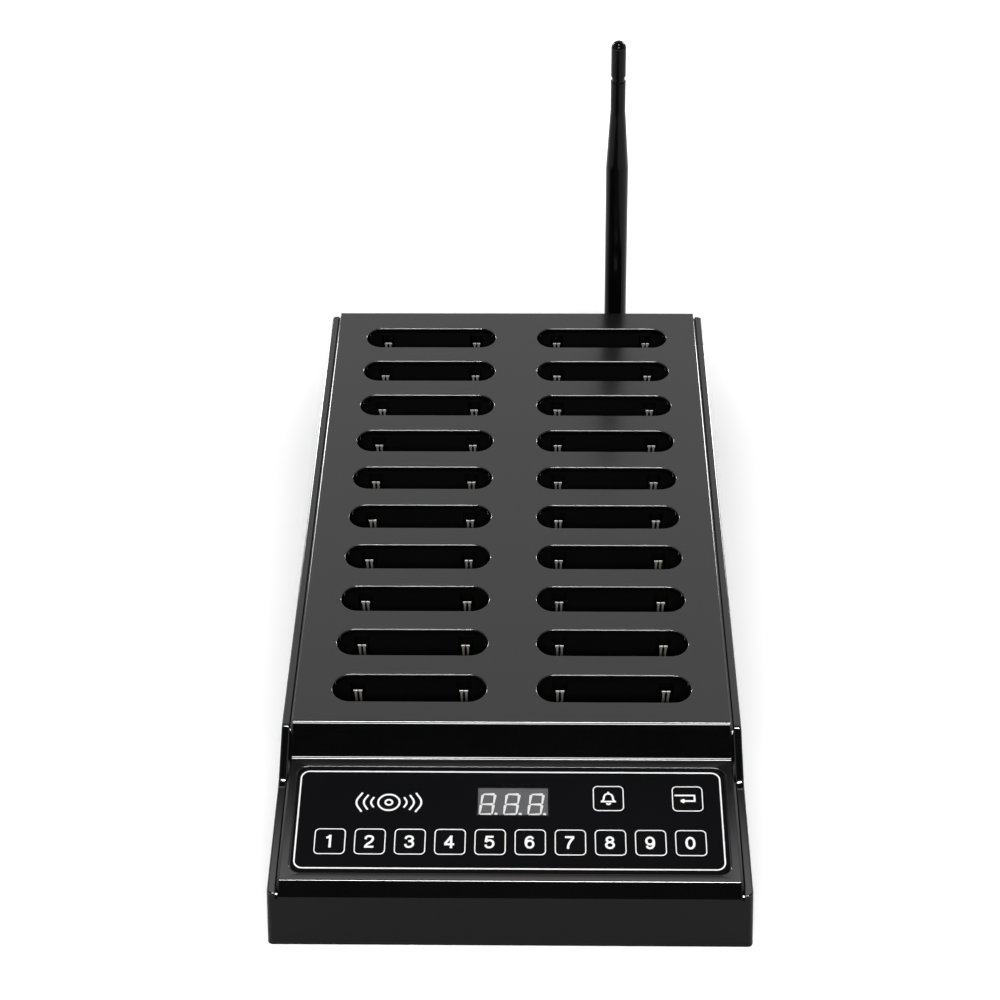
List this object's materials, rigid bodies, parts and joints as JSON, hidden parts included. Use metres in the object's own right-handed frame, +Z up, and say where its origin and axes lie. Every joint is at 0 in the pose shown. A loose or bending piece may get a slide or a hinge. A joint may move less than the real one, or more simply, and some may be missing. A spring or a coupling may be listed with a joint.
{
  "type": "guest pager system",
  "caption": "Counter-top charging base for guest pagers: sloping keypad panel with display, raised deck with two columns of slot pockets, and a tilting whip antenna at the rear.",
  "frame": {"origin": "on the counter plane under the feet, midway across the width and along the overall length from the case's front edge to the back of the upright antenna", "axes": "+Y from the keypad end towards the rear wall and antenna, along the longest extent; +X to the right of someone at the keypad; +Z up"},
  "size_m": [0.2062, 0.4134, 0.2211],
  "materials": {
    "housing_plastic": "fine moulded texture, satin",
    "base_plastic": "moulded, matte",
    "rack_plastic": "moulded, matte",
    "feet_rubber": "matte",
    "circuit_board": "green solder mask",
    "contact_metal": "nickel plated spring strip",
    "lead_sleeve": "matte",
    "overlay_film": "satin film",
    "window_acrylic": "smoked, clear",
    "display_resin": "grey reflector face",
    "switch_resin": "moulded",
    "ribbon_film": "flat film",
    "component_resin": "moulded",
    "shield_tinplate": "tin plated",
    "jack_resin": "moulded",
    "nickel_plate": "nickel plated",
    "gold_plated_brass": "plated",
    "antenna_plastic": "satin",
    "radiator_steel": "drawn wire",
    "key_plastic": "satin"
  },
  "bodies": {
    "case": {"top_housing": "housing_plastic", "base_plate": "base_plastic", "rubber_feet": "feet_rubber", "pocket_rack_left": "rack_plastic", "charging_board_left": "circuit_board", "contacts_left": "contact_metal", "charging_lead_left": "lead_sleeve", "pocket_rack_right": "rack_plastic", "charging_board_right": "circuit_board", "contacts_right": "contact_metal", "charging_lead_right": "lead_sleeve", "keypad_overlay": "overlay_film", "display_window": "window_acrylic", "display_module": "display_resin", "tactile_switches": "switch_resin", "keypad_board": "circuit_board", "keypad_ribbon": "ribbon_film", "main_board": "circuit_board", "main_board_parts": "component_resin", "radio_board": "circuit_board", "radio_shield": "shield_tinplate", "coax_pigtail": "lead_sleeve", "power_lead": "lead_sleeve", "dc_jack": "jack_resin", "dc_jack_nut": "nickel_plate", "antenna_connector": "gold_plated_brass", "connector_nut": "gold_plated_brass", "antenna_coupling": "antenna_plastic"},
    "key_1_body": {"key_1": "key_plastic"},
    "key_2_body": {"key_2": "key_plastic"},
    "key_3_body": {"key_3": "key_plastic"},
    "key_4_body": {"key_4": "key_plastic"},
    "key_5_body": {"key_5": "key_plastic"},
    "key_6_body": {"key_6": "key_plastic"},
    "key_7_body": {"key_7": "key_plastic"},
    "key_8_body": {"key_8": "key_plastic"},
    "key_9_body": {"key_9": "key_plastic"},
    "key_0_body": {"key_0": "key_plastic"},
    "key_call_body": {"key_call": "key_plastic"},
    "key_enter_body": {"key_enter": "key_plastic"},
    "antenna_swivel": {"antenna_knuckle": "antenna_plastic", "hinge_pin": "nickel_plate"},
    "antenna_mast_body": {"antenna_mast": "antenna_plastic", "antenna_cap": "antenna_plastic", "antenna_radiator": "radiator_steel"}
  },
  "joints": [
    {"name": "press_1", "type": "slide", "parent": "case", "child": "key_1_body", "axis": [0, 0.1521, -0.9884], "range_m": [0, 0.0004], "stiffness_N_per_m": 2500, "springref_m": -0.0002},
    {"name": "press_2", "type": "slide", "parent": "case", "child": "key_2_body", "axis": [0, 0.1521, -0.9884], "range_m": [0, 0.0004], "stiffness_N_per_m": 2500, "springref_m": -0.0002},
    {"name": "press_3", "type": "slide", "parent": "case", "child": "key_3_body", "axis": [0, 0.1521, -0.9884], "range_m": [0, 0.0004], "stiffness_N_per_m": 2500, "springref_m": -0.0002},
    {"name": "press_4", "type": "slide", "parent": "case", "child": "key_4_body", "axis": [0, 0.1521, -0.9884], "range_m": [0, 0.0004], "stiffness_N_per_m": 2500, "springref_m": -0.0002},
    {"name": "press_5", "type": "slide", "parent": "case", "child": "key_5_body", "axis": [0, 0.1521, -0.9884], "range_m": [0, 0.0004], "stiffness_N_per_m": 2500, "springref_m": -0.0002},
    {"name": "press_6", "type": "slide", "parent": "case", "child": "key_6_body", "axis": [0, 0.1521, -0.9884], "range_m": [0, 0.0004], "stiffness_N_per_m": 2500, "springref_m": -0.0002},
    {"name": "press_7", "type": "slide", "parent": "case", "child": "key_7_body", "axis": [0, 0.1521, -0.9884], "range_m": [0, 0.0004], "stiffness_N_per_m": 2500, "springref_m": -0.0002},
    {"name": "press_8", "type": "slide", "parent": "case", "child": "key_8_body", "axis": [0, 0.1521, -0.9884], "range_m": [0, 0.0004], "stiffness_N_per_m": 2500, "springref_m": -0.0002},
    {"name": "press_9", "type": "slide", "parent": "case", "child": "key_9_body", "axis": [0, 0.1521, -0.9884], "range_m": [0, 0.0004], "stiffness_N_per_m": 2500, "springref_m": -0.0002},
    {"name": "press_0", "type": "slide", "parent": "case", "child": "key_0_body", "axis": [0, 0.1521, -0.9884], "range_m": [0, 0.0004], "stiffness_N_per_m": 2500, "springref_m": -0.0002},
    {"name": "press_call", "type": "slide", "parent": "case", "child": "key_call_body", "axis": [0, 0.1521, -0.9884], "range_m": [0, 0.0004], "stiffness_N_per_m": 2500, "springref_m": -0.0002},
    {"name": "press_enter", "type": "slide", "parent": "case", "child": "key_enter_body", "axis": [0, 0.1521, -0.9884], "range_m": [0, 0.0004], "stiffness_N_per_m": 2500, "springref_m": -0.0002},
    {"name": "antenna_swivel", "type": "hinge", "parent": "case", "child": "antenna_swivel", "pos_m": [0.0546, 0.20077, 0.03], "axis": [0, 1, 0], "range_deg": [-90, 90]},
    {"name": "antenna_tilt", "type": "hinge", "parent": "antenna_swivel", "child": "antenna_mast_body", "pos_m": [0.0546, 0.20077, 0.03], "axis": [-0.9999, 0, -0.0126], "range_deg": [0, 90]}
  ]
}
